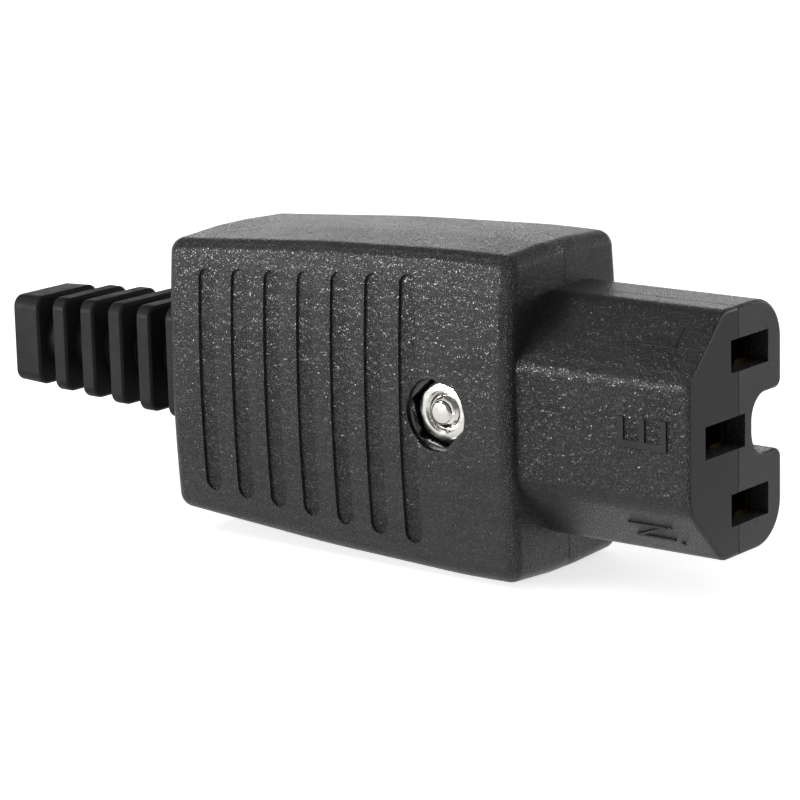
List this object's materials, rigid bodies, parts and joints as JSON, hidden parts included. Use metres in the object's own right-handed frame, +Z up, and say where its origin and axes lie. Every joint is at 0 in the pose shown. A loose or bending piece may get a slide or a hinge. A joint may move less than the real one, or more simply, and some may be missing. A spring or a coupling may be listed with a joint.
{
  "type": "rewireable appliance connector",
  "caption": "Rewireable mains appliance connector with a keyed nose, fluted two-part housing joined by a screw and nut, and a ribbed strain relief boot.",
  "frame": {"origin": "centre of the bounding box in plan, at the lowest point of the narrow lower side that the body stands on", "axes": "+X out of the mating face, towards the appliance inlet; -Y is the side with the nut; +Z up, from the neutral slot to the live slot"},
  "size_m": [0.085, 0.0182, 0.0312],
  "materials": {
    "housing_plastic": "spark-eroded charcoal thermoplastic, smooth on the nose",
    "boot_plastic": "smooth soft black PVC",
    "clamp_plastic": "moulded polyamide",
    "plated_steel": "bright nickel plate",
    "spring_steel": "plain spring steel",
    "contact_brass": "rolled brass strip",
    "terminal_brass": "machined brass"
  },
  "bodies": {
    "root": {"housing_nut_half": "housing_plastic", "housing_screw_half": "housing_plastic", "strain_relief_boot": "boot_plastic", "housing_screw": "plated_steel", "housing_nut": "plated_steel", "cord_clamp_bar": "clamp_plastic", "clamp_screw_upper": "plated_steel", "clamp_screw_lower": "plated_steel", "contact_live": "contact_brass", "contact_spring_live": "spring_steel", "terminal_box_live": "terminal_brass", "terminal_screw_live": "plated_steel", "wire_plate_live": "plated_steel", "contact_earth": "contact_brass", "contact_spring_earth": "spring_steel", "terminal_box_earth": "terminal_brass", "terminal_screw_earth": "plated_steel", "wire_plate_earth": "plated_steel", "contact_neutral": "contact_brass", "contact_spring_neutral": "spring_steel", "terminal_box_neutral": "terminal_brass", "terminal_screw_neutral": "plated_steel", "wire_plate_neutral": "plated_steel"}
  },
  "joints": []
}
